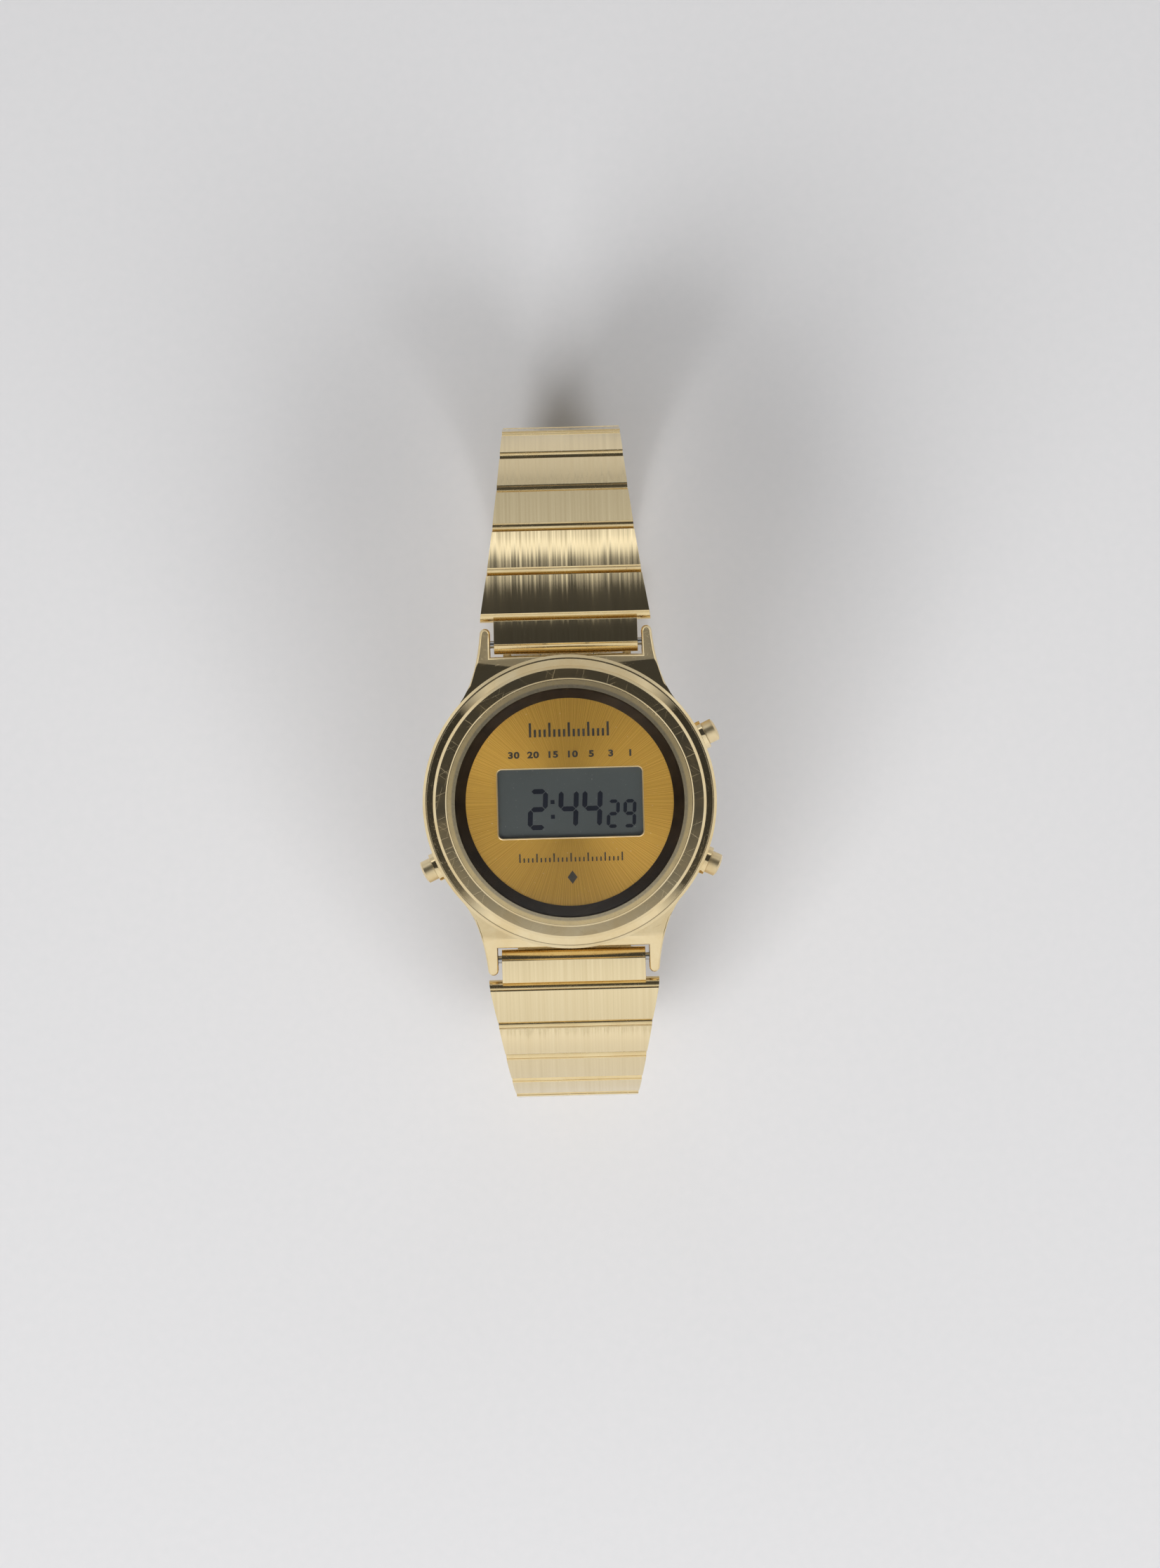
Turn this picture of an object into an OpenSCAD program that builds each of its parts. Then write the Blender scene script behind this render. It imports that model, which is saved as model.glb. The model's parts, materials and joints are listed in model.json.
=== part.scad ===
// Digital bracelet watch: round lugged case, three pushers, closed link bracelet, fold-over clasp.
// +Z points out of the dial, +Y towards 12 o'clock and +X towards 3 o'clock.
// The origin lies on the flat underside of the clasp cover, straight below the dial's centre.

/* [Case] */
// Radius of the round case
case_r = 15.5; // [14.5:0.1:17.5]
// Thickness of the case wall round the module
case_wall = 3.0; // [2.6:0.1:3.3]
// How far the lug tips reach beyond the round case
lug_length = 2.9; // [2.8:0.05:3.6]
// Gap between the two lugs of a pair, the width of a standard spring bar
lug_gap = 16; // [14:0.5:18]
// Width of a lug at its tip
lug_tip_w = 1.1; // [1.0:0.05:1.5]
// Height of the lugs at the crease where their top facet starts
lug_crease_h = 4.5; // [4.2:0.05:4.7]
// Radius of the rounded top edge of the round case
rim_round = 0.4; // [0.2:0.05:0.45]
// Thickness of the case back
back_t = 0.85; // [0.7:0.05:1.1]
// Width of the step in the case that the snap-on case back covers
back_step_w = 0.9; // [0.75:0.05:1.1]

/* [Bezel and crystal] */
// Width of the bezel ring from its outer edge to the crystal
bezel_w = 2.15; // [2.0:0.05:2.6]
// Height of the bezel above the case
bezel_h = 1.72; // [1.55:0.01:2.2]
// Thickness of the crystal
crystal_t = 1.85; // [1.5:0.05:2.4]
// Width of the bevel round the crystal's top
crystal_bevel = 0.65; // [0.3:0.05:0.9]
// Thickness of the gasket under the crystal
crystal_gasket_t = 0.3; // [0.2:0.05:0.4]

/* [Dial and display] */
// Thickness of the dial plate
dial_t = 0.4; // [0.3:0.05:0.6]
// Width of the black ring that covers the dial's rim
dial_ring_w = 1.17; // [0.8:0.01:1.5]
// Height of the black ring above the dial
dial_ring_t = 0.65; // [0.4:0.05:0.68]
// Width of the window for the display
window_w = 15.3; // [13:0.1:16]
// Height of the window for the display
window_h = 7.3; // [6:0.1:8]
// Corner radius of the window
window_r = 0.5; // [0.2:0.1:1]
// Hidden margin of the display panel round the window
panel_margin = 0.85; // [0.6:0.05:1.0]
// Thickness of the display panel
panel_t = 1.0; // [0.8:0.05:1.3]

/* [Module] */
// Radius of the coin cell
battery_r = 8; // [7:0.1:8.2]
// Thickness of the coin cell
battery_t = 1.6; // [1.2:0.1:2.0]
// Thickness of the circuit board
board_t = 0.4; // [0.3:0.05:0.6]
// Height of the rubber contact strips between board and display
strip_t = 0.4; // [0.4:0.05:0.8]
// Radius of the sounder disc
buzzer_r = 6; // [5:0.1:7]
// Thickness of the sounder disc
buzzer_t = 0.2; // [0.15:0.05:0.3]

/* [Pushers] */
// Angle of the pushers above or below the 3 and 9 o'clock line
pusher_angle = 25; // [22:0.5:30]
// Radius of a pusher's cap
cap_r = 1.2; // [1.0:0.05:1.3]
// Length of a pusher's cap
cap_l = 1.35; // [1.1:0.05:1.8]
// Width of the collar round the cap
collar_w = 0.3; // [0.2:0.05:0.4]
// Thickness of the collar that the cap slides into
collar_t = 0.5; // [0.45:0.05:0.6]
// Radius of a pusher's stem
stem_r = 0.5; // [0.4:0.05:0.55]
// Travel of a pusher
pusher_travel = 0.3; // [0.2:0.05:0.35]

/* [Bracelet] */
// Distance from one hinge pin of the bracelet to the next
link_pitch = 5.1; // [4.8:0.05:5.6]
// Distance from the spring bar to the first hinge pin
end_l = 3.3; // [3.1:0.05:3.6]
// Width of the piece between the lugs
end_w = 15.2; // [13:0.1:15.6]
// Width of the first wide link at its case side
first_w = 17.8; // [16.5:0.1:20]
// Width of the links beyond the taper
tail_w = 12.6; // [11.5:0.1:14]
// Number of links over which the bracelet tapers
taper_links = 6; // [4:1:8]
// Radius of the polished bar along a link's case side
bar_r = 0.85; // [0.82:0.01:1.0]
// Height of a link's top face above its pins
link_top = 1.0; // [0.95:0.01:1.2]
// Depth of a link's underside below its pins
link_under = 0.75; // [0.65:0.01:0.95]
// Radius of a hinge pin
pin_r = 0.35; // [0.3:0.01:0.37]
// Width of the tongue that reaches into the next link
tongue_w = 5; // [4:0.1:6]
// Radius of the spring bar between the lugs
spring_bar_r = 0.75; // [0.6:0.01:0.78]
// Radius of the polished bar of the piece between the lugs
end_bar_r = 1.05; // [1.0:0.01:1.1]

/* [Clasp] */
// Wall thickness of the clasp's cover
cover_t = 0.6; // [0.5:0.05:0.65]
// Thickness of the clasp's folding blades
blade_t = 0.6; // [0.4:0.05:0.65]
// Half the height of the cover's side walls, where its hinge pins lie
cover_mid = 1.3; // [1.28:0.01:1.5]
// Distance from the cover's bracelet bar back to the knee of the blades
knee_setback = 6.5; // [5:0.1:9]
// Distance between the adjusting holes in the cover's side walls
adjust_pitch = 2.4; // [2:0.1:3]
// Width of the lower blade's middle eye at the knee
knee_eye_w = 5.8; // [4:0.1:8]

/* [Hidden] */
$fn = 96;

// Tilt below the dial's plane of the end piece and of each link, from the case to the clasp.
upper_tilts = [17, 22, 28, 40, 49, 66, 86, 104, 124, 142, 160, 174];
lower_tilts = [22, 38, 49, 60, 71, 84, 102, 122, 142, 160, 174];
// The first pieces of the lower run turn a little together so that its end meets the clasp.
lower_lead = 5;

// How far a cutting shape reaches past what it cuts
over = 1;

// Clearances
seat = 0.05;
running = 0.04;
pin_fit = 0.01;
side_gap = 0.1;
hinge_gap = 0.1;
open_gap = 0.3;

// Heights in the head, from the case back's outer face
back_rim_h = 1.15;
back_gasket_t = 0.45;
case_floor = 0.5;
ledge_z = back_t + back_gasket_t;
battery_z = back_t + buzzer_t + 2 * seat;
board_z = battery_z + battery_t + seat;
strip_z = board_z + board_t;
panel_z = strip_z + strip_t;
dial_z = panel_z + panel_t;
case_top = dial_z + dial_t;
pusher_z = strip_z;
bezel_ledge_h = 0.4;
bezel_ledge_w = 0.75;
gasket_z = case_top + bezel_ledge_h;
crystal_z = gasket_z + crystal_gasket_t;
bezel_top = case_top + bezel_h;

// Steps of the bezel's side view: in from its outer edge and up from the case, then in from
// the outer edge and down from the top, then out from the crystal and up from the top
bezel_skirt = [[0, 0.55], [0.05, 0.68], [0.18, 0.76], [0.7, 1.02]];
bezel_shoulder = [[0.7, 0.5], [0.75, 0.28], [0.86, 0.15], [1.02, 0.1]];
bezel_lip = [[0.38, -0.02], [0.26, 0.06], [0.12, 0.06], [0, -0.02]];

// Radii in the head
cavity_r = case_r - case_wall;
back_r = cavity_r + back_step_w;
back_chamfer = 0.3;
bezel_out_r = case_r - rim_round;
bezel_in_r = bezel_out_r - bezel_w;
crystal_r = bezel_in_r - seat;
gasket_w = 0.65;
dial_inset = 0.8;
dial_r = crystal_r - dial_inset;
ring_out_r = dial_r + seat;
ring_lip_w = 0.25;
ring_lip_h = 0.12;
frame_r = cavity_r - 2 * side_gap;
skirt_w = 0.9;
board_r = frame_r - skirt_w - seat;
snap_rim_r = cavity_r - side_gap;
snap_rim_w = 0.5;
back_gasket_inset = 0.15;

// The window sits a little to the right of the dial's centre and below it.
window_shift = [0.06, -0.1];

// Module
strip_w = 0.9;
strip_inset = 0.5;
strip_edge = 0.15;
lamp = [0.8, 1.6, 0.35];
screw_circle = board_r - 1.45;
screw_turns = [60, 180, 300];
screw_r = 0.4;
screw_head_r = 0.65;
screw_head_h = 0.3;
screw_bite = 0.8;
screw_slot_w = 0.2;
screw_slot_h = 0.12;
cell_edge = 0.15;
cell_cap_in = 0.9;
cell_cap_h = 0.25;
cell_cup_h = 0.5;
cell_clip_gap = 0.1;
cell_clip_t = 0.3;
cell_clip_lift = 0.2;
cell_clip_turn = 220;
cell_clip_sweep = 100;

// Lugs and spring bars
lug_reach = case_r + lug_length;
lug_tip_round = 0.6;
lug_root_angle = 40.8;
lug_bend = 3.3;
crease_back = 4.0;
lug_tip_h = 2.65;
lug_crease_rise = 0.2;
lug_under = 0.9;
lug_tip_under = 1.25;
lug_toe = [0.4, 0.48];
lug_slope = (lug_crease_h - lug_tip_h) / crease_back;
bar_axis_back = 1.7;
bar_axis_h = 2.3;
spring_bar_y = lug_reach - bar_axis_back;
end_wall_gap = 0.25;
end_wall_y = spring_bar_y - end_bar_r - end_wall_gap;
bar_tip_r = 0.4;
bar_tip_depth = 0.7;
bar_shoulder = 0.7;

// Pushers, measured outwards from the dial's centre
collar_r = cap_r + running + collar_w;
collar_floor = case_r + 0.1;
collar_end = case_r + collar_t;
cap_start = collar_floor + pusher_travel + seat;
cap_end = cap_start + cap_l;
cap_edge = 0.22;
cap_foot = 0.08;
// Steps of the cap's domed end: share of its radius, and how far down from its end
cap_dome = [[1, cap_edge], [0.75, 0.08], [0.35, 0]];
tube_wall = 0.45;
tube_r = stem_r + tube_wall;
tube_start = cavity_r + side_gap;
collar_root = 0.2;
stem_tip = 0.03;
clip_start = cavity_r - 0.35;
stem_start = clip_start - stem_tip;
clip_t = 0.25;
clip_r = 0.95;
groove_r = stem_r - 0.1;
leaf_t = 0.15;
leaf_w = 1.6;
leaf_h = 1.0;
leaf_foot_t = 0.12;
leaf_foot_on = 0.6;
leaf_gap = 0.02;
leaf_out = stem_start - pusher_travel - leaf_gap;
notch_w = 2.6;
notch_depth = 1.9;
notch_h = 2.5;
pusher_turns = [pusher_angle, -pusher_angle, 180 + pusher_angle];

// Hinges of the bracelet
eye_wall = 0.23;
eye_r = pin_r + eye_wall;
eye_room = 0.07;
tongue_room_r = eye_r + eye_room;
joint_relief = bar_r + hinge_gap;
neck_t = 0.48;
neck_root = 0.3;
pin_inset = 0.3;
edge_chamfer = 0.1;
link_overhang = 0.35;
end_overhang = 0.4;
crown = 0.08;
crown_steps = 3;
pocket_depth = 0.25;
pocket_side = 1.3;
pocket_start = 0.28 * link_pitch;
pocket_l = 0.36 * link_pitch;
end_top = end_bar_r + 0.15;

// Where the two runs of the bracelet go
upper_links = len(upper_tilts) - 1;
lower_links = len(lower_tilts) - 1;
function piece_l(i) = i == 0 ? end_l : link_pitch;
function drop(tilts, n) = n <= 0 ? 0 : piece_l(n - 1) * sin(tilts[n - 1]) + drop(tilts, n - 1);
function reach(tilts, n) = n <= 0 ? 0 : piece_l(n - 1) * cos(tilts[n - 1]) + reach(tilts, n - 1);
clasp_bar_y = spring_bar_y + reach(upper_tilts, upper_links + 1);
clasp_bar_z = cover_mid;
bar_axis_z = clasp_bar_z + drop(upper_tilts, upper_links + 1);
head_z = bar_axis_z - bar_axis_h;
lead_drop = drop(lower_tilts, lower_lead);
lead_reach = reach(lower_tilts, lower_lead);
tail_drop = drop(lower_tilts, lower_links + 1) - lead_drop;
wanted_drop = bar_axis_z - cover_mid - tail_drop;
lead_span = norm([lead_drop, lead_reach]);
lead_turn = asin(wanted_drop / lead_span) - atan2(lead_drop, lead_reach);
lower_run = [for (i = [0:lower_links]) lower_tilts[i] + (i < lower_lead ? lead_turn : 0)];
lower_end_y = -(spring_bar_y + reach(lower_run, lower_links + 1));
function taper_w(i) = tail_w + (first_w - tail_w) * pow(1 - min(i, taper_links) / taper_links, 2);

// Clasp
cover_wall = 0.7;
cover_in_w = tail_w + 2 * side_gap;
cover_w = cover_in_w + 2 * cover_wall;
cover_pivot_y = lower_end_y + bar_r + open_gap + cover_mid;
knee_y = clasp_bar_y - knee_setback;
knee_r = blade_t + hinge_gap;
blade_low_z = cover_mid - blade_t / 2;
blade_gap = 0.4;
blade_high_z = cover_mid + blade_t / 2 + blade_gap;
knee_z = (blade_low_z + blade_high_z + blade_t) / 2;
blade_low_w = cover_in_w - 4 * side_gap;
blade_high_w = blade_low_w - 1.2;
blade_high_end = cover_pivot_y - 0.5;
floor_end = clasp_bar_y - bar_r - 2 * hinge_gap;
knee_tab = 1;
clasp_bar_r = 0.4;
clasp_pin_r = 0.36;
pin_short = 0.2;

GOLD = "#d9b45c";
BRUSHED = "#c9a04a";
STEEL = "#b9bcc0";
BLACK = "#1c1a18";
NYLON = "#b8a880";

head_names = ["watch_case", "bezel", "crystal", "crystal_gasket", "dial", "dial_ring",
    "display_panel", "contact_strips", "module_frame", "circuit_board", "display_lamp",
    "module_screws", "contact_springs", "battery", "battery_clip", "buzzer_disc",
    "case_back", "back_gasket", "pusher_tubes", "upper_spring_bar", "lower_spring_bar"];
pusher_names = ["upper_right_pusher", "lower_right_pusher", "lower_left_pusher"];
clip_names = ["upper_right_clip", "lower_right_clip", "lower_left_clip"];
clasp_names = ["clasp_cover", "clasp_bar", "clasp_hinge_pin", "clasp_blade_1",
    "clasp_knee_pin", "clasp_blade_2"];
function link_name(run, i) = str(run, "_link_", i < 10 ? "0" : "", i);

// Places its children in the head, whose height 0 is the case back's outer face
module head() {
    translate([0, 0, head_z]) children();
}

// Extrudes a side view, drawn as y and z, to a piece of width w centred on x = 0
module across(w) {
    rotate([90, 0, 90]) translate([0, 0, -w / 2]) linear_extrude(w) children();
}

// Turns a piece drawn along +Z so that it points out of the case at a pusher's angle
module at_pusher(turn) {
    rotate([0, 0, turn]) translate([0, 0, pusher_z]) rotate([0, 90, 0]) children();
}

// Ring with the given radii between two heights
module ring(out_r, in_r, z0, z1) {
    translate([0, 0, z0]) difference() {
        cylinder(r = out_r, h = z1 - z0);
        translate([0, 0, -over]) cylinder(r = in_r, h = z1 - z0 + 2 * over);
    }
}

// Rectangle with rounded corners, centred
module rounded_rect(w, h, r) {
    square([w - 2 * r, h], center = true);
    square([w, h - 2 * r], center = true);
    for (x = [-1, 1], y = [-1, 1])
        translate([x * (w / 2 - r), y * (h / 2 - r)]) circle(r);
}

// Points of a quadratic curve from a to b, pulled towards c
function curve(a, c, b, steps = 10) = [for (i = [0:steps])
    let (t = i / steps) pow(1 - t, 2) * a + 2 * t * (1 - t) * c + t * t * b];

// Plan of a quarter of the case with its lug: the lug's side leaves the round case on a
// tangent and ends in a round tip
lug_root = case_r * [cos(lug_root_angle), sin(lug_root_angle)];
lug_pull = lug_root + lug_bend * [-sin(lug_root_angle), cos(lug_root_angle)];
lug_tip = [lug_gap / 2 + lug_tip_w, lug_reach - lug_tip_round];
tip_turn = [for (a = [0:15:180]) [lug_gap / 2 + lug_tip_w / 2, lug_tip.y]
    + [lug_tip_w / 2 * cos(a), (lug_reach - lug_tip.y) * sin(a)]];
lug_side = concat([[0, 0], [lug_root.x, 0]], curve(lug_root, lug_pull, lug_tip), tip_turn,
    [[lug_gap / 2, end_wall_y], [0, end_wall_y]]);

module lug_block() {
    intersection() {
        linear_extrude(case_top) for (x = [0, 1], y = [0, 1])
            mirror([x, 0]) mirror([0, y]) polygon(lug_side);
        across(3 * case_r) for (y = [0, 1]) mirror([y, 0])
            polygon([[0, lug_under], [lug_reach - crease_back, lug_under],
                [lug_reach - lug_toe.x, lug_tip_under],
                [lug_reach + lug_toe.x, lug_tip_under + 2 * lug_toe.y],
                [lug_reach + lug_toe.x, lug_tip_h - lug_slope * lug_toe.x],
                [lug_reach - crease_back, lug_crease_h],
                [lug_reach - 2 * crease_back, lug_crease_h + lug_crease_rise],
                [0, lug_crease_h + lug_crease_rise]]);
    }
}

module round_case() {
    rotate_extrude() difference() {
        union() {
            translate([0, case_floor + rim_round])
                square([case_r, case_top - case_floor - 2 * rim_round]);
            translate([0, case_floor]) square([case_r - rim_round, case_top - case_floor]);
            for (z = [case_floor + rim_round, case_top - rim_round])
                translate([case_r - rim_round, z]) circle(rim_round, $fn = 48);
        }
        translate([-case_r, 0]) square([case_r, 2 * case_top]);
    }
}

module watch_case() {
    color(GOLD) head() difference() {
        union() {
            difference() {
                round_case();
                for (y = [0, 1]) mirror([0, y, 0])
                    translate([-lug_gap / 2, end_wall_y, 0]) cube([lug_gap, case_r, 2 * case_top]);
            }
            lug_block();
        }
        translate([0, 0, -over]) cylinder(r = back_r + seat, h = ledge_z + over);
        cylinder(r = cavity_r, h = 2 * case_top);
        for (turn = pusher_turns) at_pusher(turn)
            cylinder(r = tube_r, h = 2 * case_r);
        for (y = [0, 1]) mirror([0, y, 0]) translate([0, spring_bar_y, bar_axis_h])
            across(lug_gap + 2 * bar_tip_depth + 2 * seat) circle(bar_tip_r + pin_fit);
    }
}

module bezel() {
    ledge_r = bezel_in_r - bezel_ledge_w;
    color(GOLD) head() rotate_extrude() polygon(concat(
        [[ledge_r, case_top], [bezel_out_r, case_top]],
        [for (p = bezel_skirt) [bezel_out_r - p.x, case_top + p.y]],
        [for (p = bezel_shoulder) [bezel_out_r - p.x, bezel_top - p.y]],
        [for (p = bezel_lip) [bezel_in_r + p.x, bezel_top + p.y]],
        [[bezel_in_r, gasket_z], [ledge_r, gasket_z]]));
}

module crystal() {
    bevel_h = crystal_bevel * 0.9;
    color("#dfe6e8", 0.35) head() translate([0, 0, crystal_z]) rotate_extrude()
        polygon([[0, 0], [crystal_r, 0], [crystal_r, crystal_t - bevel_h],
            [crystal_r - crystal_bevel, crystal_t], [0, crystal_t]]);
}

module crystal_gasket() {
    color(NYLON) head() ring(crystal_r, crystal_r - gasket_w, gasket_z, crystal_z);
}

module dial() {
    color("#c8962f") head() translate([0, 0, dial_z]) linear_extrude(dial_t) difference() {
        circle(dial_r);
        translate(window_shift) rounded_rect(window_w, window_h, window_r);
    }
}

module dial_ring() {
    inner_r = ring_out_r - dial_ring_w;
    color(BLACK) head() translate([0, 0, case_top]) rotate_extrude()
        polygon([[inner_r, 0], [ring_out_r, 0], [ring_out_r, dial_ring_t],
            [ring_out_r - ring_lip_w, dial_ring_t], [inner_r, ring_lip_h]]);
}

module display_panel() {
    color("#3f4a4c") head() translate([0, 0, panel_z]) linear_extrude(panel_t)
        square([window_w + 2 * panel_margin, window_h + 2 * panel_margin], center = true);
}

module contact_strips() {
    strip_l = window_w - 2 * strip_inset;
    strip_y = window_h / 2 + panel_margin - strip_w / 2 - strip_edge;
    color("#6b6b70") head() for (y = [-1, 1])
        translate([0, y * strip_y, strip_z + strip_t / 2])
            cube([strip_l, strip_w, strip_t], center = true);
}

module display_lamp() {
    color("white") head()
        translate([window_w / 2, 0, strip_z + lamp.z / 2]) cube(lamp, center = true);
}

// Cut-outs of the module at the three pushers
module pusher_notches() {
    for (turn = pusher_turns) rotate([0, 0, turn])
        translate([frame_r - notch_depth, -notch_w / 2, pusher_z - notch_h / 2])
            cube([notch_depth + over, notch_w, notch_h]);
}

module module_frame() {
    skirt_z = back_t + back_rim_h + side_gap;
    pocket = [window_w + 2 * panel_margin + 2 * seat, window_h + 2 * panel_margin + 2 * seat];
    color("#d8d4c8") head() difference() {
        union() {
            ring(frame_r, board_r + seat, skirt_z, strip_z);
            translate([0, 0, strip_z]) cylinder(r = frame_r, h = dial_z - strip_z);
        }
        translate([0, 0, strip_z - over]) linear_extrude(panel_t + strip_t + 2 * over)
            square(pocket, center = true);
        pusher_notches();
        for (turn = screw_turns) rotate([0, 0, turn]) translate([screw_circle, 0, strip_z - over])
            cylinder(r = screw_r + pin_fit, h = over + screw_bite + seat);
    }
}

module circuit_board() {
    color("#1f6b3a") head() translate([0, 0, board_z]) difference() {
        cylinder(r = board_r, h = board_t);
        for (turn = screw_turns) rotate([0, 0, turn])
            translate([screw_circle, 0, -over]) cylinder(r = screw_r + pin_fit, h = board_t + 2 * over);
    }
}

module module_screws() {
    color(STEEL) head() for (turn = screw_turns) rotate([0, 0, turn])
        translate([screw_circle, 0, board_z - screw_head_h]) difference() {
            union() {
                cylinder(r = screw_head_r, h = screw_head_h);
                cylinder(r = screw_r, h = screw_head_h + board_t + screw_bite);
            }
            translate([-screw_head_r - over, -screw_slot_w / 2, -over])
                cube([2 * (screw_head_r + over), screw_slot_w, over + screw_slot_h]);
        }
}

// Sprung leaves on the board's edge that a pusher's stem pushes against
module contact_springs() {
    foot_l = leaf_out - board_r + leaf_foot_on;
    color(GOLD) head() for (turn = pusher_turns) rotate([0, 0, turn]) {
        translate([leaf_out - leaf_t, -leaf_w / 2, strip_z]) cube([leaf_t, leaf_w, leaf_h]);
        translate([leaf_out - foot_l, -leaf_w / 2, strip_z]) cube([foot_l, leaf_w, leaf_foot_t]);
    }
}

module battery() {
    cap_r = battery_r - cell_cap_in;
    color(STEEL) head() translate([0, 0, battery_z]) rotate_extrude()
        polygon([[0, 0], [battery_r - cell_edge, 0], [battery_r, cell_edge],
            [battery_r, battery_t - cell_cup_h], [cap_r, battery_t - cell_cap_h],
            [cap_r, battery_t], [0, battery_t]]);
}

module battery_clip() {
    clip_h = board_z - battery_z - cell_clip_lift;
    color(STEEL) head() translate([0, 0, battery_z + cell_clip_lift]) rotate([0, 0, cell_clip_turn])
        rotate_extrude(angle = cell_clip_sweep) translate([battery_r + cell_clip_gap, 0])
            square([cell_clip_t, clip_h]);
}

module buzzer_disc() {
    color("#caa24e") head() translate([0, 0, back_t]) cylinder(r = buzzer_r, h = buzzer_t);
}

module case_back() {
    color(STEEL) head() {
        rotate_extrude() polygon([[0, 0], [back_r - back_chamfer, 0], [back_r, back_chamfer],
            [back_r, back_t], [0, back_t]]);
        ring(snap_rim_r, snap_rim_r - snap_rim_w, back_t / 2, back_t + back_rim_h);
    }
}

module back_gasket() {
    color(BLACK) head() ring(back_r - side_gap, cavity_r + back_gasket_inset, back_t, ledge_z);
}

module pusher_tubes() {
    color(GOLD) head() for (turn = pusher_turns) at_pusher(turn) difference() {
        union() {
            translate([0, 0, tube_start])
                cylinder(r = tube_r - pin_fit, h = collar_floor - tube_start);
            intersection() {
                translate([0, 0, case_r - collar_root])
                    cylinder(r = collar_r, h = collar_t + collar_root);
                rotate([0, -90, 0]) translate([0, 0, -pusher_z])
                    ring(2 * case_r, case_r + pin_fit, 0, 2 * case_top);
            }
        }
        cylinder(r = stem_r + running, h = 2 * case_r);
        translate([0, 0, collar_floor]) cylinder(r = cap_r + running, h = collar_t);
    }
}

module pusher(turn) {
    color(GOLD) head() at_pusher(turn) rotate_extrude()
        polygon(concat([[0, stem_start], [stem_r, stem_start], [stem_r, clip_start],
            [groove_r, clip_start], [groove_r, clip_start + clip_t], [stem_r, clip_start + clip_t],
            [stem_r, cap_start], [cap_r - cap_foot, cap_start], [cap_r, cap_start + cap_foot]],
            [for (p = cap_dome) [p.x * cap_r, cap_end - p.y]], [[0, cap_end]]));
}

module pusher_clip(turn) {
    slot_w = 2 * groove_r - side_gap;
    clip_z = clip_start + pin_fit;
    color(STEEL) head() at_pusher(turn) difference() {
        ring(clip_r, groove_r + pin_fit, clip_z, clip_start + clip_t - pin_fit);
        translate([-clip_r - over, -slot_w / 2, clip_z - over])
            cube([clip_r + over, slot_w, clip_t + 2 * over]);
    }
}

module spring_bar() {
    color(STEEL) across(lug_gap - 2 * bar_shoulder) circle(spring_bar_r);
    color(STEEL) across(lug_gap + 2 * bar_tip_depth) circle(bar_tip_r);
}

module at_spring_bar(lower) {
    rotate([0, 0, lower ? 180 : 0]) translate([0, spring_bar_y, bar_axis_z]) children();
}

// Side view of a link's or end piece's body, with its crowned top: it hangs over the bar at its
// case side and ends at its far edge
module body_side(overhang, length, top) {
    middle = (length - overhang) / 2;
    half = (length + overhang) / 2;
    edge_h = top - crown - edge_chamfer;
    polygon(concat(
        [[-overhang, -link_under], [-overhang, edge_h]],
        [for (i = [-crown_steps:crown_steps]) let (share = i / crown_steps)
            [middle + share * (half - edge_chamfer), top - crown * share * share]],
        [[length, edge_h], [length, edge_chamfer - link_under],
        [length - edge_chamfer, -link_under]]));
}

// Tongue that reaches from a piece into the next link's hinge
module tongue(pitch) {
    difference() {
        across(tongue_w) {
            translate([pitch, 0]) circle(eye_r);
            translate([pitch - joint_relief - neck_root, -eye_r])
                square([joint_relief + neck_root, neck_t]);
        }
        across(2 * tongue_w) translate([pitch, 0]) circle(pin_r + running);
    }
}

// Keeps a link inside its tapering plan, drawn from two pitches before its pin to two past it
module plan(near_w, far_w) {
    side = 2 * link_pitch;
    before = near_w / 2 + (near_w - far_w);
    after = near_w / 2 - (near_w - far_w);
    linear_extrude(side, center = true)
        polygon([[-before, -side], [before, -side], [after, side], [-after, side]]);
}

// One link, drawn with its case-side pin on the x axis and its top face up.
// last is 0 for a link with a tongue, 1 for a full far bar and 2 for a far bar open in the middle.
module link(near_w, far_w, last) {
    body_l = last == 0 ? link_pitch - joint_relief : link_pitch;
    difference() {
        intersection() {
            union() {
                across(first_w * 2) body_side(link_overhang, body_l, link_top);
                across(first_w * 2) circle(bar_r);
                if (last > 0) across(first_w * 2) translate([link_pitch, 0]) circle(bar_r);
            }
            plan(near_w, far_w);
        }
        across(tongue_w + 2 * side_gap) {
            circle(tongue_room_r);
            translate([-2 * bar_r, -2 * bar_r]) square(2 * bar_r);
        }
        if (last == 2) across(tongue_w + 2 * side_gap)
            translate([link_pitch - bar_r, -2 * bar_r]) square(4 * bar_r);
        across(first_w * 2) circle(pin_r + pin_fit);
        if (last > 0) across(first_w * 2) translate([link_pitch, 0])
            circle(last == 1 ? clasp_bar_r + running : pin_r + pin_fit);
        if (last == 0) across(far_w - 2 * pocket_side)
            translate([pocket_start, -link_under - over]) square([pocket_l, over + pocket_depth]);
    }
    if (last == 0) tongue(link_pitch);
    across(near_w - 2 * pin_inset) circle(pin_r);
    if (last == 2) across(far_w - 2 * pin_inset) translate([link_pitch, 0]) circle(pin_r);
}

module end_piece(lower, tilt) {
    color(BRUSHED) at_spring_bar(lower) rotate([-tilt, 0, 0]) {
        difference() {
            union() {
                across(end_w) body_side(end_overhang, end_l - joint_relief, end_top);
                across(end_w) circle(end_bar_r);
            }
            across(2 * end_w) circle(spring_bar_r + seat);
        }
        tongue(end_l);
    }
}

// Places link i of a run: it follows the pieces before it
module on_run(lower, tilts, i) {
    at_spring_bar(lower) translate([0, reach(tilts, i), -drop(tilts, i)])
        rotate([-tilts[i], 0, 0]) children();
}

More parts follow.
